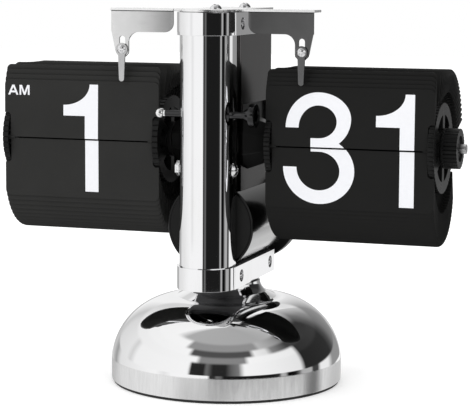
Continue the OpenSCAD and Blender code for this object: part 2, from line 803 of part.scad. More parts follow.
module circuit_board() {
    y = case_y1 - wall - 6;
    z = drum_z + 16;
    half = case_x - wall - 1.5;
    color([0.1, 0.35, 0.2]) union() {
        translate([-half, y, z]) cube([2 * half, 1.2, case_top - wall - z - 4]);
        translate([-4, y - 1.6, z + 5]) cube([8, 1.7, 8]);
        translate([3, y + 1.1, z + 12]) cube([3, 2, 6]);
        translate([-5, y + 1, z + 8]) rod_y(1.5, 0, 3);
    }
}

module minute_gear() on_drum_axis()
    color([0.92, 0.9, 0.85]) gear_x(minute_teeth, 90 + 180 / minute_teeth, minute_gear_x, gear_t, inner_shaft_r + fit_gap);

module minute_pinion() on_drum_axis() color([0.92, 0.9, 0.85])
    gear_x(minute_pinion_teeth, 0, pinion_x, minute_gear_x - pinion_x, inner_shaft_r + fit_gap);

module arbor_wheel() translate([0, arbor_y, drum_z]) color([0.92, 0.9, 0.85])
    gear_x(arbor_teeth, 180 + 180 / arbor_teeth, pinion_x + 0.6, gear_t, arbor_r + fit_gap);

// Steel arbor with the pinion that drives the hour gear
module arbor() translate([0, arbor_y, drum_z]) color([0.75, 0.75, 0.76]) union() {
    rod_x(arbor_r, -case_x + wall + 0.1, 2 * (case_x - wall - 0.1));
    gear_x(arbor_pinion_teeth, 0, -pinion_x - 2.6, 2.6, arbor_r - 0.1);
}

module hour_gear() on_drum_axis() color([0.92, 0.9, 0.85])
    gear_x(hour_teeth, 180 / hour_teeth, -pinion_x - 0.5 - gear_t, gear_t, inner_shaft_r + fit_gap);

// ---------------------------------------------------------------- battery

module on_battery_axis() {
    translate([0, 0, battery_z]) children();
}

module battery_shell() {
    y = web_y + 0.1;
    color([0.8, 0.8, 0.82]) on_battery_axis() difference() {
        rod_y(battery_r, y, ring_y - y, $fn = 96);
        rod_y(battery_r - battery_t, y - 1, ring_y - y + 2, $fn = 96);
    }
}

module battery_disc() {
    color([0.08, 0.08, 0.08]) on_battery_axis()
        rod_y(battery_r - battery_t - 0.02, web_y + 0.3, disc_t, $fn = 96);
}

module battery_ring() {
    color([0.07, 0.07, 0.07]) on_battery_axis() difference() {
        rod_y(ring_r, ring_y, ring_l, $fn = 96);
        rod_y(cell_r + 0.6, ring_y - 1, ring_l + 2, $fn = 96);
    }
}

module battery_cell() {
    nub = 1.5;
    color([0.15, 0.2, 0.45]) on_battery_axis() union() {
        rod_y(cell_r, cell_y + nub, cell_l - nub - 0.1, $fn = 96);
        rod_y(4.6, cell_y, nub + 1);
    }
}

// Front contact: a dished spring plate that the cell's nub presses on
module contact_spring() {
    y = web_y + 0.3 + disc_t;
    color([0.78, 0.7, 0.45]) on_battery_axis() translate([0, y, 0]) rotate([-90, 0, 0])
        rotate_extrude() polygon([[0, 0.8], [4, 0.8], [8, 0], [10, 0], [10, 0.4], [8.2, 0.4], [4.2, 1.2], [0, 1.2]]);
}

module contact_plate() {
    y = cell_y + cell_l + 0.4;
    color([0.78, 0.7, 0.45]) on_battery_axis() union() {
        rod_y(9, y + 0.8, 0.6);
        rod_y(5, y, 1);
    }
}

// Cap that closes the battery tube: it pulls straight off the back
module battery_cap() {
    floor_y = cell_y + cell_l + 1.8;
    color([0.08, 0.08, 0.08]) on_battery_axis() difference() {
        rod_y(cap_r, cap_y, cap_l, $fn = 96);
        rod_y(cell_r + 0.6, cap_y - 1, floor_y - cap_y + 1, $fn = 96);
        for (i = [0 : cap_grips - 1]) rotate([0, i * 360 / cap_grips, 0]) translate([cap_r + 0.2, 0, 0])
            rod_y(0.9, cap_y + 1.5, cap_l, $fn = 6);
    }
}

base_pad();
base_weight();
base_dome();
base_bolt();
foot_block();
head_block();
lower_strap();
upper_strap();
strap_screws();
column_tube();
chassis();
cross_screw();
stay_rod();
stay_ring();
top_bracket();
top_screws();
finger_left();
finger_screw_left();
finger_right();
finger_screw_right();
gearcase_left();
gearcase_right();
gearcase_screws();
gear_plate();
shaft_bushes();
motor_body();
motor_pinion();
circuit_board();
arbor();
arbor_wheel();
minute_shaft();
minute_gear();
minute_pinion();
minute_collar();
minute_hub();
minute_wheel_inner();
minute_wheel_outer();
setting_knob();
hour_shaft();
hour_gear();
hour_collar();
hour_hub();
hour_wheel_inner();
hour_wheel_outer();
minute_flaps_upper();
minute_flaps_lower();
minute_falling_flap();
hour_flaps_upper();
hour_flaps_lower();
hour_falling_flap();
battery_shell();
battery_disc();
battery_ring();
battery_cell();
contact_spring();
contact_plate();
battery_cap();
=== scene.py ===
"""Flip number clock on a polished column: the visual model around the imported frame, in metres."""

import json
from math import asin, atan2, cos, exp, hypot, pi, radians, sin

import bpy
from mathutils import Matrix, Vector


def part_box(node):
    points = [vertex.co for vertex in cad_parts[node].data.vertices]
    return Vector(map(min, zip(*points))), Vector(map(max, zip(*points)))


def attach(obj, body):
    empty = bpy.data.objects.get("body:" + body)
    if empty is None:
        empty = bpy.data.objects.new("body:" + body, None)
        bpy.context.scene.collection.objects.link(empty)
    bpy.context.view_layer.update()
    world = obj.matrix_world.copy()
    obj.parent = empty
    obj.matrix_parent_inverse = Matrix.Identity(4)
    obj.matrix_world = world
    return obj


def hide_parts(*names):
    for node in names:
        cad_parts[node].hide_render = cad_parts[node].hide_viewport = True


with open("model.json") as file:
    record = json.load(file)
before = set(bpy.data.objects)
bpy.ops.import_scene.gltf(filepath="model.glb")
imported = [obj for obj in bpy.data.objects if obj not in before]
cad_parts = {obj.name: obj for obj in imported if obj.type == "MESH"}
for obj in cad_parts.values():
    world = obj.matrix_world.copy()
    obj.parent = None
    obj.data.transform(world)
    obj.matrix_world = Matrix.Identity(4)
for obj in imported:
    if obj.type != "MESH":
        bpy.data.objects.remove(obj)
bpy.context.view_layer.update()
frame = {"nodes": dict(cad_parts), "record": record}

MM = 0.001
NODES = frame["nodes"]


# ---------------------------------------------------------------- modelling by hand

def mm_box(node):
    """Lowest and highest corner of a CAD node, in millimetres."""
    low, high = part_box(node)
    return low / MM, high / MM


def at(*place):
    """A place in millimetres as metres."""
    return tuple(value * MM for value in place)


def only(piece):
    """Select this piece alone and make it active."""
    if bpy.context.mode != "OBJECT":
        bpy.ops.object.mode_set(mode="OBJECT")
    bpy.ops.object.select_all(action="DESELECT")
    piece.select_set(True)
    bpy.context.view_layer.objects.active = piece


def edit(piece):
    """Edit mode on one piece with nothing selected."""
    only(piece)
    bpy.ops.object.mode_set(mode="EDIT")
    bpy.ops.mesh.select_mode(type="VERT")
    bpy.ops.mesh.select_all(action="DESELECT")


def named(name):
    """The primitive just added, under its own name."""
    piece = bpy.context.active_object
    piece.name = name
    piece.data.name = name
    return piece


def clean(piece, gap=1e-6):
    """Merge doubles and turn all faces outwards."""
    edit(piece)
    bpy.ops.mesh.select_all(action="SELECT")
    bpy.ops.mesh.remove_doubles(threshold=gap)
    bpy.ops.mesh.normals_make_consistent(inside=False)
    bpy.ops.object.mode_set(mode="OBJECT")


def settle(piece):
    """Put the piece's turn and place into its mesh."""
    only(piece)
    bpy.ops.object.transform_apply(location=True, rotation=True, scale=True)


def soften(piece, width, segments=2, edge_angle=38):
    """Round the sharp edges by a width in millimetres."""
    only(piece)
    bevel = piece.modifiers.new("edges", "BEVEL")
    bevel.width = width * MM
    bevel.segments = segments
    bevel.limit_method = "ANGLE"
    bevel.angle_limit = radians(edge_angle)
    bevel.use_clamp_overlap = True
    bpy.ops.object.modifier_apply(modifier=bevel.name)


def smooth(piece, edge_angle=32):
    """Smooth shading in which the large faces stay true and the rounded edges take the bend."""
    only(piece)
    bpy.ops.object.shade_smooth_by_angle(angle=radians(edge_angle))
    weighted = piece.modifiers.new("weighted", "WEIGHTED_NORMAL")
    weighted.weight = 100
    weighted.keep_sharp = True
    bpy.ops.object.modifier_apply(modifier=weighted.name)


def turned(name, profile, sides):
    """A solid of revolution about Z from a closed outline of (radius, height) in millimetres."""
    bpy.ops.object.select_all(action="DESELECT")
    radius, height = profile[0]
    bpy.ops.mesh.primitive_circle_add(vertices=sides, radius=radius * MM, location=at(0, 0, height))
    piece = named(name)
    settle(piece)
    edit(piece)
    bpy.ops.mesh.select_all(action="SELECT")
    for next_radius, next_height in profile[1:] + profile[:1]:
        rise = (next_height - height) * MM
        bpy.ops.mesh.extrude_region_move(TRANSFORM_OT_translate={"value": (0, 0, rise)})
        ratio = next_radius / radius
        bpy.ops.transform.resize(value=(ratio, ratio, 1), center_override=at(0, 0, next_height))
        radius, height = next_radius, next_height
    bpy.ops.object.mode_set(mode="OBJECT")
    clean(piece)
    return piece


def refined(node, width, edge_angle=38, segments=2):
    """A merged copy of a CAD node with rounded edges, which stands for the node."""
    source = NODES[node]
    piece = bpy.data.objects.new(node + "_finish", source.data.copy())
    bpy.context.scene.collection.objects.link(piece)
    only(piece)
    bpy.ops.mesh.customdata_custom_splitnormals_clear()
    edit(piece)
    bpy.ops.mesh.select_all(action="SELECT")
    bpy.ops.mesh.remove_doubles(threshold=2e-6)
    bpy.ops.mesh.dissolve_limited(angle_limit=radians(0.6))
    bpy.ops.object.mode_set(mode="OBJECT")
    if width:
        soften(piece, width, segments, edge_angle)
    smooth(piece)
    return piece


def fitted(piece, body, slot, material, *nodes):
    """Give a finished piece its material, its body and the nodes that it stands for."""
    piece.data.materials.clear()
    piece.data.materials.append(material)
    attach(piece, body)
    if nodes:
        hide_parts(*nodes)
    return piece


# ---------------------------------------------------------------- shader expressions

class Wire:
    """An output socket with arithmetic; make() adds any other node."""

    def __init__(self, tree, socket=None):
        self.tree = tree
        self.socket = socket

    def make(self, kind, settings=None, values=None, out=0):
        node = self.tree.nodes.new(kind)
        for name, value in (settings or {}).items():
            if name == "stops":
                set_stops(node.color_ramp, value)
            else:
                setattr(node, name, value)
        for key, value in (values or {}).items():
            if isinstance(value, Wire):
                self.tree.links.new(value.socket, node.inputs[key])
            else:
                node.inputs[key].default_value = value
        return Wire(self.tree, node.outputs[out])

    def other(self, out):
        """Another output of the same node."""
        return Wire(self.tree, self.socket.node.outputs[out])

    def math(self, operation, *terms):
        return self.make("ShaderNodeMath", {"operation": operation}, dict(enumerate(terms)))

    def __add__(self, term):
        return self.math("ADD", self, term)

    __radd__ = __add__

    def __sub__(self, term):
        return self.math("SUBTRACT", self, term)

    def __rsub__(self, term):
        return self.math("SUBTRACT", term, self)

    def __mul__(self, term):
        return self.math("MULTIPLY", self, term)

    __rmul__ = __mul__

    def __truediv__(self, term):
        return self.math("DIVIDE", self, term)

    def step(self, low, high):
        """0 below low, 1 above high, smooth between."""
        return self.make("ShaderNodeMapRange", {"interpolation_type": "SMOOTHSTEP"},
                         {"Value": self, "From Min": low, "From Max": high})

    def ramp(self, *stops):
        """A colour or grey for each stop of (position, value)."""
        return self.make("ShaderNodeValToRGB", {"stops": stops}, {"Fac": self})

    def mix(self, first, second):
        """Colour mix of two colours by this wire."""
        return self.make("ShaderNodeMix", {"data_type": "RGBA"},
                         {"Factor": self, "A": first, "B": second}, out="Result")


def set_stops(ramp, stops):
    """Stops of (position, grey or colour) on a ramp."""
    while len(ramp.elements) > 1:
        ramp.elements.remove(ramp.elements[-1])
    for index, (position, value) in enumerate(stops):
        stop = ramp.elements[0] if index == 0 else ramp.elements.new(position)
        stop.position = position
        stop.color = (*value, 1) if isinstance(value, tuple) else (value, value, value, 1)


def finish_material(name, constants, varying):
    """A material whose constants sit on the shader and whose varying inputs come from nodes."""
    material = bpy.data.materials.new(name)
    material.use_nodes = True
    tree = material.node_tree
    tree.nodes.clear()
    shader = tree.nodes.new("ShaderNodeBsdfPrincipled")
    output = tree.nodes.new("ShaderNodeOutputMaterial")
    tree.links.new(shader.outputs[0], output.inputs["Surface"])
    for socket, value in constants.items():
        shader.inputs[socket].default_value = value
    for socket, wire in varying(Wire(tree)).items():
        tree.links.new(wire.socket, shader.inputs[socket])
    return material


def place_mm(wire, stretch=(1, 1, 1)):
    """Object coordinates in millimetres, stretched."""
    coordinates = wire.make("ShaderNodeTexCoord", out="Object")
    scale = tuple(value / MM for value in stretch)
    return coordinates.make("ShaderNodeMapping", None, {"Vector": coordinates, "Scale": scale})


def grain(place, per_mm, detail=3.0, rough=0.55):
    """Noise from 0 to 1 with a given number of features a millimetre."""
    return place.make("ShaderNodeTexNoise", None,
                      {"Vector": place, "Scale": per_mm, "Detail": detail, "Roughness": rough})


def bump(height, depth, strength=1.0):
    """A normal from a height, with the depth in millimetres."""
    return height.make("ShaderNodeBump", None,
                       {"Height": height, "Distance": depth * MM, "Strength": strength})


# ---------------------------------------------------------------- finishes

# Height of the dome's upright band
BAND_H = 9.5


def chrome(name, grey, low_rough, spread):
    """Mirror chrome with faint wipe marks and a barely rippled face."""
    def varying(wire):
        place = place_mm(wire)
        wipes = grain(place_mm(wire, (1, 1, 0.2)), 0.12, 5.0, 0.62).step(0.42, 0.78)
        ripple = grain(place, 0.07, 2.0)
        hairs = grain(place_mm(wire, (6, 6, 0.15)), 1.2, 4.0, 0.7)
        return {
            "Base Color": wipes.mix((grey, grey, grey * 1.01, 1),
                                    (grey * 0.95, grey * 0.95, grey * 0.95, 1)),
            "Roughness": low_rough + wipes * spread,
            "Normal": bump(ripple * 0.6 + hairs * 0.01, 0.12, 0.25),
        }
    return finish_material(name, {"Metallic": 1.0}, varying)


def dome_chrome():
    """The base: mirror above its crease and a softer, upright brushed band below it."""
    crease = mm_box("base_dome")[0].z + BAND_H

    def varying(wire):
        place = place_mm(wire)
        axes = place.make("ShaderNodeSeparateXYZ", None, {"Vector": place})
        x, y, z = axes, axes.other("Y"), axes.other("Z")
        round_angle = y.math("ARCTAN2", y, x)
        around = round_angle.make("ShaderNodeCombineXYZ", None,
                                  {"X": round_angle * 26.0, "Y": z * 0.06})
        streaks = grain(around, 1.6, 5.0, 0.6)
        band = 1 - z.step(crease - 0.25, crease + 0.15)
        wipes = grain(place_mm(wire, (1, 1, 0.5)), 0.06, 5.0, 0.6).step(0.45, 0.8)
        ripple = grain(place, 0.05, 2.0)
        return {
            "Base Color": (streaks * band).mix((0.9, 0.9, 0.905, 1), (0.7, 0.7, 0.7, 1)),
            "Roughness": 0.022 + wipes * 0.03 + band * (0.12 + streaks * 0.12),
            "Normal": bump(ripple * 0.8 + streaks * band * 0.12, 0.12, 0.25),
        }
    return finish_material("dome_chrome", {"Metallic": 1.0}, varying)


def pressed_bracket():
    """Brushed sheet of the top bracket, with painted light: lighter at one end and darker at the other, a
    painted shade line just under the top and a painted highlight along the top.
    """
    # Painted light and shade: grey of the sheet at each X in millimetres, light at the left end and dark
    # at the right
    stops = ((-45, 0.85), (-32, 0.72), (-18, 0.34), (-12, 0.6),
             (12, 0.4), (18, 0.06), (30, 0.085), (45, 0.1))
    top = mm_box("top_bracket")[1].z
    shade_line_foot, shade_line_head, top_highlight_start = top - 1.35, top - 0.85, top - 0.95
    fade = 0.15
    cloud_grey, shade_line_grey, top_highlight_grey = (0.3, 0.3, 0.3, 1), (0.03, 0.03, 0.03, 1), (0.92, 0.92, 0.92, 1)

    def varying(wire):
        place = place_mm(wire)
        x = place.make("ShaderNodeSeparateXYZ", None, {"Vector": place})
        z = x.other("Z")
        lines = grain(place_mm(wire, (0.06, 1, 2)), 2.2, 6.0, 0.65)
        cloud = grain(place, 0.16, 3.0)
        painted_light_tone = (x / 100 + 0.5).ramp(*[(at_x / 100 + 0.5, value) for at_x, value in stops])
        sheet = (cloud * 0.2).mix(painted_light_tone, cloud_grey)
        # Painted shade: a dark line just under the top edge; above it a bright band along the top as a
        # painted highlight
        painted_shade_line = z.step(shade_line_foot, shade_line_foot + fade) * (1 - z.step(shade_line_head - fade, shade_line_head))
        bend = z.step(top_highlight_start, top_highlight_start + fade)
        return {
            "Base Color": bend.mix(painted_shade_line.mix(sheet, shade_line_grey), top_highlight_grey),
            "Roughness": 0.14 + lines * 0.12 + cloud * 0.06,
            "Normal": bump(lines, 0.01, 0.35),
        }
    return finish_material("pressed_bracket", {"Metallic": 1.0}, varying)


def stay_steel():
    """The stay rod: dark along its length as a painted dark reflection, with a painted highlight on its
    domed left end.
    """
    painted_highlight_length = 4.6
    painted_highlight_end = mm_box("stay_rod")[0].x + painted_highlight_length

    def varying(wire):
        place = place_mm(wire)
        x = place.make("ShaderNodeSeparateXYZ", None, {"Vector": place})
        lines = grain(place_mm(wire, (0.2, 2, 2)), 2.0, 4.0)
        # Painted highlight on the rod's left end, painted dark reflection on the rest
        bright = 1 - x.step(painted_highlight_end - 0.2, painted_highlight_end + 0.2)
        return {
            "Base Color": bright.mix((0.055, 0.055, 0.056, 1), (0.9, 0.9, 0.9, 1)),
            "Roughness": 0.08 + lines * 0.1,
            "Normal": bump(lines, 0.006, 0.3),
        }
    return finish_material("stay_steel", {"Metallic": 1.0}, varying)


def battery_chrome():
    """The battery tube: polished, with painted reflection bands that go light, dark and light again with
    height, and a blackened lip round its front.
    """
    lip_width = 0.9
    lip = mm_box("battery_shell")[0].y + lip_width

    def varying(wire):
        place = place_mm(wire)
        y = place.make("ShaderNodeSeparateXYZ", None, {"Vector": place}, out="Y")
        # Painted reflection: the tube's grey by height, in hundreds of millimetres
        painted_reflection_bands = (y.other("Z") / 100).ramp((0.51, 0.85), (0.64, 0.8), (0.7, 0.3),
                                          (0.78, 0.12), (0.89, 0.45))
        wipes = grain(place, 0.1, 5.0, 0.6).step(0.4, 0.8)
        polished = y.step(lip - 0.1, lip + 0.1)
        return {
            "Base Color": polished.mix((0.02, 0.02, 0.02, 1), painted_reflection_bands),
            "Roughness": 0.13 + wipes * 0.06,
            "Normal": bump(grain(place, 0.07, 2.0), 0.1, 0.2),
        }
    return finish_material("battery_chrome", {"Metallic": 1.0}, varying)


def satin_steel(name, grey, rough, stretch):
    """Sheet steel with a directional grain."""
    def varying(wire):
        lines = grain(place_mm(wire, stretch), 2.2, 6.0, 0.65)
        cloud = grain(place_mm(wire), 0.16, 3.0)
        return {
            "Base Color": cloud.mix((grey, grey, grey, 1),
                                    (grey * 0.82, grey * 0.82, grey * 0.83, 1)),
            "Roughness": rough + lines * 0.1 + cloud * 0.06,
            "Normal": bump(lines, 0.01, 0.4),
        }
    return finish_material(name, {"Metallic": 1.0}, varying)


def screw_plate():
    """Bright plating of the screws, with small dark spots in it."""
    def varying(wire):
        spots = grain(place_mm(wire), 2.5, 4.0).step(0.5, 0.72)
        return {
            "Base Color": spots.mix((0.82, 0.82, 0.83, 1), (0.5, 0.5, 0.5, 1)),
            "Roughness": 0.1 + spots * 0.2,
            "Normal": bump(spots, 0.01, 0.3),
        }
    return finish_material("screw_plate", {"Metallic": 1.0}, varying)


def dark_nickel():
    """Dark plated sheet of the chassis, polished, with soft cloudy wear."""
    def varying(wire):
        cloud = grain(place_mm(wire), 0.12, 5.0, 0.6)
        lines = grain(place_mm(wire, (1, 0.08, 3)), 1.5, 5.0)
        return {
            "Base Color": cloud.mix((0.075, 0.072, 0.072, 1), (0.1, 0.097, 0.096, 1)),
            "Roughness": 0.09 + cloud * 0.1 + lines * 0.05,
            "Normal": bump(lines, 0.006, 0.3),
        }
    return finish_material("dark_nickel", {"Metallic": 1.0}, varying)


def moulded_black(name, grey, rough, per_mm, depth):
    """Moulded plastic: fine eroded texture with a soft rubbed variation."""
    def varying(wire):
        texture = grain(place_mm(wire), per_mm, 3.0, 0.6)
        rubbed = grain(place_mm(wire), 0.22, 4.0, 0.6)
        return {
            "Base Color": rubbed.mix((grey * 0.8, grey * 0.8, grey * 0.8, 1),
                                     (grey * 1.35, grey * 1.35, grey * 1.32, 1)),
            "Roughness": rough - 0.06 + rubbed * 0.14,
            "Normal": bump(texture, depth, 0.5),
        }
    return finish_material(name, {"IOR": 1.34, "Specular IOR Level": 0.3}, varying)


def flap_sheet(name, grey):
    """Satin sheet of the flaps: rolled grain along the sheet, light rubbing, fine tooth."""
    def varying(wire):
        rolled = grain(place_mm(wire, (0.05, 1, 1.4)), 1.1, 5.0, 0.6)
        tooth = grain(place_mm(wire), 9.0, 2.0)
        rubbed = grain(place_mm(wire), 0.05, 4.0, 0.55)
        return {
            "Base Color": rubbed.mix((grey, grey, grey * 0.97, 1),
                                     (grey * 1.5, grey * 1.5, grey * 1.43, 1)),
            "Roughness": 0.4 + rubbed * 0.1 + rolled * 0.05,
            "Normal": bump(tooth * 0.5 + rolled * 0.5, 0.01, 0.35),
        }
    return finish_material(name, {"IOR": 1.24}, varying)


def numeral_ink():
    """Opaque off-white print with a slight mottle."""
    def varying(wire):
        mottle = grain(place_mm(wire), 0.8, 5.0, 0.65)
        tooth = grain(place_mm(wire), 7.0, 2.0)
        return {
            "Base Color": mottle.mix((0.8, 0.805, 0.83, 1), (0.74, 0.745, 0.775, 1)),
            "Roughness": 0.5 + mottle * 0.12,
            "Normal": bump(tooth, 0.008, 0.3),
        }
    return finish_material("numeral_ink", {}, varying)


def plain_stuff(name, colour, rough, metallic=0.0, per_mm=1.5, depth=0.02):
    """Finish of an inner piece: a slightly varied colour with its own grain."""
    darker = tuple(value * 0.78 for value in colour)

    def varying(wire):
        cloud = grain(place_mm(wire), per_mm * 0.15, 4.0)
        texture = grain(place_mm(wire), per_mm, 4.0)
        return {
            "Base Color": cloud.mix((*colour, 1), (*darker, 1)),
            "Roughness": rough - 0.05 + texture * 0.1,
            "Normal": bump(texture, depth, 0.4),
        }
    return finish_material(name, {"Metallic": metallic}, varying)


FINISH = {
    "polished_steel": chrome("column_chrome", 0.9, 0.02, 0.035),
    "screw_steel": screw_plate(),
    "bright_steel": pressed_bracket(),
    "dark_nickel": dark_nickel(),
    "shaft_steel": satin_steel("shaft_steel", 0.66, 0.2, (0.1, 3, 3)),
    "cast_iron": plain_stuff("cast_iron", (0.16, 0.16, 0.17), 0.7, 0.6, 1.2, 0.12),
    "soft_pad": plain_stuff("pad_foam", (0.02, 0.02, 0.02), 0.85, 0.0, 3.0, 0.08),
    "dark_block": plain_stuff("block_black", (0.05, 0.05, 0.052), 0.4, 0.0, 2.0, 0.03),
    "case_black": moulded_black("case_plastic", 0.006, 0.3, 5.0, 0.02),
    "wheel_black": moulded_black("wheel_plastic", 0.006, 0.28, 4.0, 0.012),
    "flap_black": flap_sheet("flap_sheet", 0.007),
    "gear_acetal": plain_stuff("gear_acetal", (0.84, 0.82, 0.75), 0.35),
    "brass": plain_stuff("bush_bronze", (0.085, 0.065, 0.042), 0.35, 1.0),
    "motor_zinc": plain_stuff("motor_can", (0.55, 0.55, 0.57), 0.35, 1.0),
    "board_green": plain_stuff("board_mask", (0.03, 0.16, 0.08), 0.35),
    "cell_label": plain_stuff("cell_sleeve", (0.05, 0.09, 0.25), 0.3),
    "contact_nickel": plain_stuff("contact_plating", (0.7, 0.64, 0.5), 0.25, 1.0),
}
# The two fingers are one steel in lit and shaded copies: painted light on the left finger, painted shade
# on the right one
FINGER_STEEL = {"finger_left": satin_steel("finger_steel_left_painted_light", 0.6, 0.14, (1, 1, 0.06)),
                "finger_right": satin_steel("finger_steel_right_painted_shade", 0.15, 0.14, (1, 1, 0.06))}
STAY_STEEL, BATTERY_CHROME = stay_steel(), battery_chrome()
HOUR_SHEET = flap_sheet("hour_flap_sheet", 0.017)
DOME_CHROME = dome_chrome()
INK = numeral_ink()

# Every CAD node starts with its slot's finish; most of the seen ones are replaced below
SLOT_OF = {part["node"]: part["material_slot"] for part in frame["record"]["subparts"]}
for node_name, node_object in NODES.items():
    for holder in node_object.material_slots:
        hour_flap = node_name.startswith("hour") and SLOT_OF[node_name] == "flap_black"
        holder.material = HOUR_SHEET if hour_flap else FINISH[SLOT_OF[node_name]]


# ---------------------------------------------------------------- base

def dome_outline():
    """Closed outline of the spun shell: band, rounded crease, dome arc, trumpet neck, inner wall."""
    low, high = mm_box("base_dome")
    base_r, foot, top = high.x, low.z, high.z
    crease, shoulder_r, shoulder_z = foot + BAND_H, 25.0, top - 7.5
    neck_r, bore_r, wall, bulge = 14.5, 3.2, 1.2, 6.1
    chord = (shoulder_r - base_r, shoulder_z - crease)
    half = hypot(*chord) / 2
    arc_r = (half * half + bulge * bulge) / (2 * bulge)
    middle = (base_r + chord[0] / 2, crease + chord[1] / 2)
    reach = (arc_r - bulge) / (2 * half)
    centre = (middle[0] - chord[1] * reach, middle[1] + chord[0] * reach)
    start = atan2(crease - centre[1], base_r - centre[0])
    sweep = 2 * asin(half / arc_r)
    outline = [(base_r - 0.3, foot), (base_r - 0.08, foot + 0.1), (base_r, foot + 0.35)]
    outline += [(base_r, crease - 0.5), (base_r - 0.04, crease - 0.15)]
    steps = 40
    for index in range(1, steps + 1):
        angle = start + sweep * index / steps
        outline.append((centre[0] + arc_r * cos(angle), centre[1] + arc_r * sin(angle)))
    steps = 20
    for index in range(1, steps + 1):
        angle = pi / 2 * index / steps
        outline.append((neck_r + (shoulder_r - neck_r) * (1 - sin(angle)),
                        shoulder_z + (top - shoulder_z) * (1 - cos(angle))))
    outline += [(bore_r, top), (bore_r, top - 3), (neck_r - wall, top - 3)]
    steps = 14
    for index in range(steps, -1, -1):
        angle = start + sweep * index / steps
        outline.append((centre[0] + (arc_r - wall) * cos(angle),
                        centre[1] + (arc_r - wall) * sin(angle)))
    outline.append((base_r - wall, foot))
    return outline


dome = turned("spun_dome", dome_outline(), 192)
smooth(dome, 28)
fitted(dome, "frame", "polished_steel", DOME_CHROME, "base_dome")


# ---------------------------------------------------------------- column

def half_tube():
    """The bright half tube: an upright strip spun half a turn, its two ends drawn straight back."""
    low, high = mm_box("column_tube")
    outer, wall = high.x, 1.0
    axis_y = low.y + outer
    middle = at(outer - wall / 2, axis_y, (low.z + high.z) / 2)
    bpy.ops.object.select_all(action="DESELECT")
    bpy.ops.mesh.primitive_plane_add(size=1, location=middle, rotation=(pi / 2, 0, 0))
    piece = named("bright_half_tube")
    piece.scale = (wall * MM, (high.z - low.z) * MM, 1)
    settle(piece)
    edit(piece)
    bpy.ops.mesh.select_all(action="SELECT")
    bpy.ops.mesh.spin(steps=96, angle=pi, center=at(0, axis_y, 0), axis=(0, 0, 1))
    bpy.ops.object.mode_set(mode="OBJECT")
    clean(piece)
    edit(piece)
    bpy.ops.mesh.select_mode(type="FACE")
    bpy.ops.object.mode_set(mode="OBJECT")
    for face in piece.data.polygons:
        face.select = abs(face.normal.y) > 0.99 and abs(face.center.y / MM - axis_y) < 0.01
    bpy.ops.object.mode_set(mode="EDIT")
    back = (high.y - axis_y) * MM
    bpy.ops.mesh.extrude_region_move(TRANSFORM_OT_translate={"value": (0, back, 0)})
    bpy.ops.object.mode_set(mode="OBJECT")
    clean(piece)
    soften(piece, 0.12, 2, 60)
    smooth(piece)
    return piece


fitted(half_tube(), "frame", "polished_steel", FINISH["polished_steel"], "column_tube")


def battery_tube():
    """Bright tube behind the column, turned about Z and laid along Y."""
    low, high = mm_box("battery_shell")
    radius, wall, lip = high.x, 0.98, 0.25
    front, back = low.y, high.y
    outline = [(radius - wall, front + lip), (radius - wall + lip, front), (radius - lip, front),
               (radius, front + lip), (radius, back), (radius - wall, back)]
    piece = turned("bright_battery_tube", outline, 160)
    piece.rotation_euler = (-pi / 2, 0, 0)
    piece.location = at(0, 0, (low.z + high.z) / 2)
    settle(piece)
    smooth(piece)
    return piece


fitted(battery_tube(), "frame", "polished_steel", BATTERY_CHROME, "battery_shell")

# The drums' axis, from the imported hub, which also places the bosses and the numerals
HUB_R = 6.5
AXIS_Y = -4.2
AXIS_Z = mm_box("minute_hub")[0].z + HUB_R


def case_boss(name, side):
    """Faceted black boss of the case round one drum shaft, tapering towards the drum."""
    start, depth, foot_r, tip_r, bore_r = 10.7, 10.5, 12.8, 8.6, 7.9
    facets = 8
    middle = at(side * (start + depth / 2), AXIS_Y, AXIS_Z)
    lying = (pi / 2, pi / 2 - pi / facets, side * pi / 2)
    bpy.ops.object.select_all(action="DESELECT")
    bpy.ops.mesh.primitive_cone_add(vertices=facets, radius1=foot_r * MM, radius2=tip_r * MM,
                                    depth=depth * MM, end_fill_type="NOTHING", location=middle,
                                    rotation=lying)
    piece = named(name)
    settle(piece)
    wall = piece.modifiers.new("wall", "SOLIDIFY")
    wall.thickness = (tip_r - bore_r) * MM
    wall.offset = -1
    bpy.ops.object.modifier_apply(modifier=wall.name)
    clean(piece)
    soften(piece, 0.25)
    smooth(piece)
    return piece


fitted(case_boss("case_boss_right", 1), "frame", "case_black", FINISH["case_black"])
fitted(case_boss("case_boss_left", -1), "frame", "case_black", FINISH["case_black"])

# Pieces whose CAD shape is right: merged copies with rounded edges
ROUNDED = {
    "base_pad": 0.2, "foot_block": 0.3, "head_block": 0.3, "lower_strap": 0.14, "upper_strap": 0.14,
    "strap_screws": 0.06, "chassis": 0.12, "cross_screw": 0.08, "stay_rod": 0.0, "stay_ring": 0.3,
    "top_bracket": 0.16, "top_screws": 0.08, "finger_left": 0.14, "finger_right": 0.14,
    "finger_screw_left": 0.06, "finger_screw_right": 0.06, "gearcase_left": 0.3, "gearcase_right": 0.3,
    "minute_collar": 0.25, "hour_collar": 0.25, "minute_hub": 0.0, "hour_hub": 0.0,
    "minute_wheel_inner": 0.12, "minute_wheel_outer": 0.12, "hour_wheel_inner": 0.12,
    "hour_wheel_outer": 0.12, "setting_knob": 0.15, "minute_shaft": 0.1, "hour_shaft": 0.1,
    "battery_disc": 0.2, "battery_ring": 0.35, "battery_cap": 0.3,
}
BODY_OF = {node: body for body, members in frame["record"]["behaviour"]["bodies"].items()
           for node in members}
for node_name, edge_width in ROUNDED.items():
    finish = FINISH[SLOT_OF[node_name]]
    if node_name in FINGER_STEEL:
        finish = FINGER_STEEL[node_name]
    elif node_name in ("stay_rod", "stay_ring"):
        finish = STAY_STEEL
    fitted(refined(node_name, edge_width), BODY_OF[node_name], SLOT_OF[node_name], finish, node_name)


# ---------------------------------------------------------------- numerals

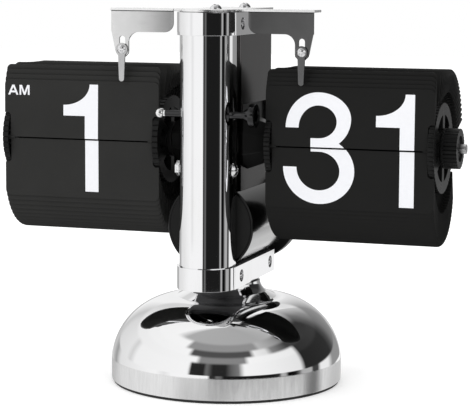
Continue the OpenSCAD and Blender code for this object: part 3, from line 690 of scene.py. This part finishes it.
def bow(centre, radii, first, last, steps=14):
    """Points of an elliptic arc between two angles in degrees."""
    return [(centre[0] + radii[0] * cos(radians(first + (last - first) * i / steps)),
             centre[1] + radii[1] * sin(radians(first + (last - first) * i / steps)))
            for i in range(steps + 1)]


# Outlines in millimetres: x from the numeral's left, z from the split between the two halves
TOP, FOOT = 22.9, -23.4


def one_outline():
    """A stem with a curved flag at its top."""
    return ([(16.1, TOP), (16.1, FOOT), (10.0, FOOT), (10.0, 9.3), (0.0, 9.3)]
            + bow((0.0, TOP), (12.2, TOP - 13.9), -90, 0))


def three_outline():
    """Two bowls that meet at a short bar."""
    outer_top = bow((15.1, 8.1), (14.0, TOP - 8.1), 180, 90) + bow((15.1, 12), (14.0, TOP - 12), 90, 0)
    waist = bow((15.1, 12), (14.0, 13.0), 0, -50.5, 8) + bow((15.5, -9.6), (15.1, 14.0), 55.7, 0, 8)
    outer_foot = (bow((15.5, -9.6), (15.1, -9.6 - FOOT), 0, -90)
                  + bow((15.5, -8.25), (15.5, -8.25 - FOOT), -90, -180))
    inner_foot = bow((15.4, -8.25), (9.6, 9.5), 180, 270) + bow((15.4, -9.7), (8.9, 8.05), -90, 90, 20)
    inner_top = bow((15.2, 10.7), (7.8, 6.8), -90, 90, 20) + bow((15.2, 8.1), (8.5, 9.4), 90, 180)
    bar = [(11.9, -1.65), (11.9, 3.9)]
    return outer_top + waist + outer_foot + inner_foot + bar + inner_top


def two_outline():
    """A bowl, a sweep down to the left and a flat foot."""
    outer = bow((15.1, 8.0), (14.2, TOP - 8.0), 180, 90) + bow((15.1, 10.2), (14.2, TOP - 10.2), 90, 0)
    sweep_out = bow((13.0, 10.2), (16.3, 16.0), 0, -52, 8) + bow((29.5, -18.0), (21.8, 17.0), 125, 180, 8)
    foot = [(29.6, -18.0), (29.6, FOOT), (-0.2, FOOT)]
    sweep_in = bow((21.5, FOOT), (21.7, 18.0), 180, 118, 8) + bow((10.6, 9.3), (12.4, 15.2), -48, 0, 8)
    inner = bow((14.8, 9.3), (8.2, 8.2), 0, 90) + bow((15.1, 8.0), (8.6, 9.5), 90, 180)
    return outer + sweep_out + foot + sweep_in + inner


# The small bold letters beside the hour, with their foot at z 0
LETTER_H = 4.3
LETTER_A = [(0.0, 0.0), (0.95, 0.0), (1.3, 0.95), (3.55, 0.95), (3.9, 0.0), (4.85, 0.0), (2.95, LETTER_H),
            (2.43, LETTER_H), (2.43, 3.3), (3.2, 1.75), (1.65, 1.75), (2.41, 3.3), (2.41, LETTER_H),
            (1.9, LETTER_H)]
LETTER_M = [(0.0, 0.0), (0.8, 0.0), (0.8, 3.1), (2.0, 0.0), (2.75, 0.0), (3.95, 3.1), (3.95, 0.0),
            (4.75, 0.0), (4.75, LETTER_H), (3.6, LETTER_H), (2.38, 1.2), (1.15, LETTER_H), (0.0, LETTER_H)]


# The flaps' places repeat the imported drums: the pin circle and how the flaps lean and stand back
PIN_R = 16.8
LOWER_START, LOWER_GAP, LEAN_OUT = 1.2, 0.42, 0.07
STACK_DEPTH, STACK_TURN, SPREAD_TURN = 2.2, 25, 100

# The ink is sunk a little into the flap, and each half number ends short of the split
INK_DEPTH, INK_SINK = 0.06, 0.012
CARD_HALF = 0.125
EDGE_GAP = 0.2


def flat_outline(points):
    """A filled flat outline as a mesh of the ink's depth, lying in XY."""
    curve = bpy.data.curves.new("outline", "CURVE")
    curve.dimensions = "2D"
    curve.fill_mode = "BOTH"
    curve.extrude = INK_DEPTH * MM / 2
    spline = curve.splines.new("POLY")
    spline.points.add(len(points) - 1)
    for point, (x, z) in zip(spline.points, points):
        point.co = (x * MM, z * MM, 0, 1)
    spline.use_cyclic_u = True
    piece = bpy.data.objects.new("outline", curve)
    bpy.context.scene.collection.objects.link(piece)
    only(piece)
    bpy.ops.object.convert(target="MESH")
    return bpy.context.active_object


def printed(name, glyphs, left, upper, placement, body, rise=0.0):
    """One half of a printed number on a flap. glyphs is a list of (outline, x, z)."""
    parts = []
    for shape, x, z in glyphs:
        part = flat_outline(shape)
        part.location = at(left + x, z + rise, 0)
        settle(part)
        parts.append(part)
    only(parts[0])
    for part in parts:
        part.select_set(True)
    if len(parts) > 1:
        bpy.ops.object.join()
    piece = named(name)
    clean(piece)
    edit(piece)
    bpy.ops.mesh.select_all(action="SELECT")
    bpy.ops.mesh.bisect(plane_co=at(0, EDGE_GAP if upper else -EDGE_GAP, 0), plane_no=(0, 1, 0),
                        use_fill=True, clear_inner=upper, clear_outer=not upper)
    bpy.ops.object.mode_set(mode="OBJECT")
    stand = Matrix.Rotation(pi / 2, 4, "X")
    front = Matrix.Translation(at(0, -CARD_HALF - INK_DEPTH / 2 + INK_SINK, 0))
    piece.matrix_world = placement @ front @ stand
    settle(piece)
    clean(piece)
    return fitted(piece, body, "flap_black", INK)


def step_back(turn):
    """How far the flap at a turn stands back from the pin circle, in millimetres."""
    return STACK_DEPTH * (1 - exp(-turn / STACK_TURN)) * exp(-turn / SPREAD_TURN)


def on_circle(turn, side, lean, back):
    """Frame of the flap at a turn above (side 1) or below (side -1) the front of the pin circle."""
    pivot = at(0, AXIS_Y - PIN_R * cos(radians(turn)), AXIS_Z + side * PIN_R * sin(radians(turn)))
    leaning = Matrix.Rotation(radians(lean), 4, "X")
    return Matrix.Translation(pivot) @ leaning @ Matrix.Translation(at(0, back, 0))


def number_set(drum, glyphs, next_glyphs, flap_count):
    """Front number and next number of one drum, on the flaps that carry them."""
    left = mm_box(drum + "_falling_flap")[0].x
    flap_body = drum + "_flap"
    standing = on_circle(0, 1, -1, 0)
    fallen = on_circle(LOWER_START, -1, LEAN_OUT * LOWER_START, LOWER_GAP + step_back(LOWER_START))
    turn = 360 / flap_count
    behind = on_circle(turn, 1, -1, step_back(turn))
    half_turn = Matrix.Rotation(pi, 4, "X")
    printed(drum + "_number_upper", glyphs, left, True, standing, flap_body)
    printed(drum + "_number_lower", glyphs, left, False, fallen, "frame",
            PIN_R * sin(radians(LOWER_START)))
    printed(drum + "_next_upper", next_glyphs, left, True, behind, "frame")
    printed(drum + "_next_lower", next_glyphs, left, False, standing @ half_turn, flap_body)


ONE, TWO, THREE = one_outline(), two_outline(), three_outline()
MORNING = [(LETTER_A, 1.6, 18.4), (LETTER_M, 7.0, 18.4)]
number_set("hour", [(ONE, 27.8, 0.7)] + MORNING, [(TWO, 20.0, 0)] + MORNING, 48)
number_set("minute", [(THREE, 7.7, 0), (ONE, 47.3, 0)], [(THREE, 7.7, 0), (TWO, 39.5, 0)], 60)


# ---------------------------------------------------------------- stage, light and camera

def studio_floor():
    """White paper that glows faintly and stays out of the reflections."""
    size, below_foot, glow = 6, 0.02, 0.3
    bpy.ops.object.select_all(action="DESELECT")
    bpy.ops.mesh.primitive_plane_add(size=size, location=at(0, 0, -below_foot))
    floor = named("studio_floor")
    settle(floor)
    paper = plain_stuff("floor_paper", (0.93, 0.93, 0.93), 0.8, 0.0, 0.3, 0.01)
    shader = paper.node_tree.nodes["Principled BSDF"]
    shader.inputs["Emission Color"].default_value = (1, 1, 1, 1)
    shader.inputs["Emission Strength"].default_value = glow
    floor.data.materials.append(paper)
    floor.visible_glossy = False


def studio_tent():
    """A white tent with the dark slit of its opening and dark flags, seen only in reflections."""
    world = bpy.data.worlds.new("studio_tent")
    bpy.context.scene.world = world
    world.use_nodes = True
    tree = world.node_tree
    tree.nodes.clear()
    wire = Wire(tree)
    direction = wire.make("ShaderNodeTexCoord", out="Generated")
    axes = direction.make("ShaderNodeSeparateXYZ", None, {"Vector": direction})
    x, y, z = axes, axes.other("Y"), axes.other("Z")
    bearing = x.math("ARCTAN2", x, 0 - y) / (2 * pi) + 0.5
    height = z.math("ARCSINE", z) * (180 / pi)

    def tier(*stops):
        """Brightness by bearing in degrees, 0 in front and positive to the right."""
        return bearing.ramp(*[(angle / 360 + 0.5, value) for angle, value in stops])

    # From the table below the clock up to the tent's crown
    ground = tier((-180, 0.7), (-135, 0.55), (-110, 0.85), (-40, 0.95), (-25, 0.6), (12, 0.62), (30, 0.85),
                  (100, 0.85), (106, 0.2), (120, 0.12), (130, 0.9), (150, 0.6), (180, 0.6))
    level = tier((-180, 0.6), (-150, 0.5), (-137, 0.6), (-124, 0.35), (-112, 0.8), (-55, 1.0), (-45, 0.85),
                 (-36, 1.0), (0.8, 1.0), (2.2, 0.03), (7.5, 0.03), (9, 0.16), (13.5, 0.12), (16, 0.012),
                 (66, 0.012), (72, 0.03), (75, 0.5), (79, 0.4), (82, 0.0), (91, 0.01), (95, 0.12),
                 (99, 0.45), (111, 0.45), (114, 0.05), (121, 0.06), (126, 0.9), (140, 0.9), (150, 0.3),
                 (180, 0.3))
    skirt = tier((-180, 0.95), (-150, 0.8), (-137, 0.6), (-124, 0.35), (-112, 0.8), (-55, 1.0), (0.8, 1.0),
                 (2.2, 0.03), (7.5, 0.03), (9, 0.16), (13.5, 0.12), (16, 0.012), (66, 0.012), (72, 0.03),
                 (75, 0.5), (79, 0.4), (82, 0.0), (91, 0.01), (95, 0.12), (99, 0.45), (111, 0.45),
                 (114, 0.05), (121, 0.06), (126, 0.95), (180, 0.95))
    low = tier((-180, 0.3), (-165, 0.9), (-150, 0.95), (-137, 0.6), (-128, 0.75), (-100, 0.85), (-93, 0.7),
               (-85, 0.95), (-20, 1.0), (-17, 0.02), (-4, 0.02), (-1, 0.15), (5, 0.02), (18, 0.02),
               (24, 0.12), (31, 0.2), (37, 1.0), (60, 0.95), (98, 0.85), (104, 0.02), (148, 0.03),
               (156, 0.08), (165, 0.2), (180, 0.3))
    middle = tier((-180, 0.8), (-147, 0.7), (-120, 0.9), (-14, 1.0), (-9, 0.25), (38, 0.25), (43, 1.0),
                  (98, 0.9), (104, 0.03), (150, 0.05), (158, 0.12), (170, 0.3), (180, 0.6))
    slit = tier((-180, 0.9), (-26, 1.0), (-21, 0.08), (46, 0.08), (52, 0.9), (66, 0.8), (74, 0.25),
                (96, 0.05), (150, 0.04), (165, 0.2), (180, 0.6))
    shelf = tier((-180, 0.95), (-36, 1.0), (-30, 0.3), (56, 0.3), (62, 0.5), (90, 0.3), (110, 0.05),
                 (145, 0.03), (160, 0.3), (180, 0.7))
    crown = tier((-180, 0.9), (-70, 1.0), (-50, 0.45), (70, 0.42), (110, 0.5), (140, 0.3), (180, 0.8))

    # Each tier with the height in degrees where it starts and the half width of its soft edge
    tiers = ((-10.8, 0.5, skirt), (-8.6, 0.4, level), (1.5, 1.2, low), (24, 2.5, middle),
             (34, 2.5, slit), (44, 2.5, shelf), (56, 3, crown))
    pattern = ground
    for above, blend, next_tier in tiers:
        pattern = height.step(above - blend, above + blend).mix(pattern, next_tier)
    rays = wire.make("ShaderNodeLightPath", out="Is Camera Ray")
    glossy = rays.other("Is Glossy Ray")
    fill, backdrop = (1.08, 1.08, 1.08, 1), (1.0, 1.0, 1.0, 1)
    soft = glossy.mix(fill, pattern)
    seen = rays.mix(soft, backdrop)
    background = seen.make("ShaderNodeBackground", None, {"Color": seen, "Strength": 1.0})
    output = tree.nodes.new("ShaderNodeOutputWorld")
    tree.links.new(background.socket, output.inputs["Surface"])


def soft_box(name, place, size, power):
    """A square soft light that looks at the column's middle."""
    target = at(0, 0, 90)
    light = bpy.data.lights.new(name, "AREA")
    light.size = size
    light.energy = power
    lamp = bpy.data.objects.new(name, light)
    bpy.context.scene.collection.objects.link(lamp)
    lamp.location = place
    lamp.rotation_euler = (Vector(target) - Vector(place)).to_track_quat("-Z", "Y").to_euler()
    lamp.visible_glossy = False


def camera_view():
    """Right of the front and a little above, with a long lens."""
    camera = bpy.data.objects.new("camera", bpy.data.cameras.new("camera"))
    bpy.context.scene.collection.objects.link(camera)
    camera.location = at(253.5, -746.7, 177.2)
    yaw, pitch, roll = radians(18.52), radians(-6.42), 0.005
    camera.rotation_euler = (Matrix.Rotation(yaw, 4, "Z") @ Matrix.Rotation(pi / 2 + pitch, 4, "X")
                             @ Matrix.Rotation(roll, 4, "Z")).to_euler()
    camera.data.sensor_width = 36
    camera.data.lens = 140.2
    camera.data.shift_x = 0.0019
    camera.data.shift_y = -0.0573
    camera.data.clip_start = 0.02
    bpy.context.scene.camera = camera


studio_floor()
studio_tent()
soft_box("key_box", (-0.5, -0.9, 1.3), 0.9, 3)
soft_box("top_box", (0.3, 0.2, 1.6), 1.2, 4)
camera_view()
bpy.context.scene.view_settings.view_transform = "Standard"
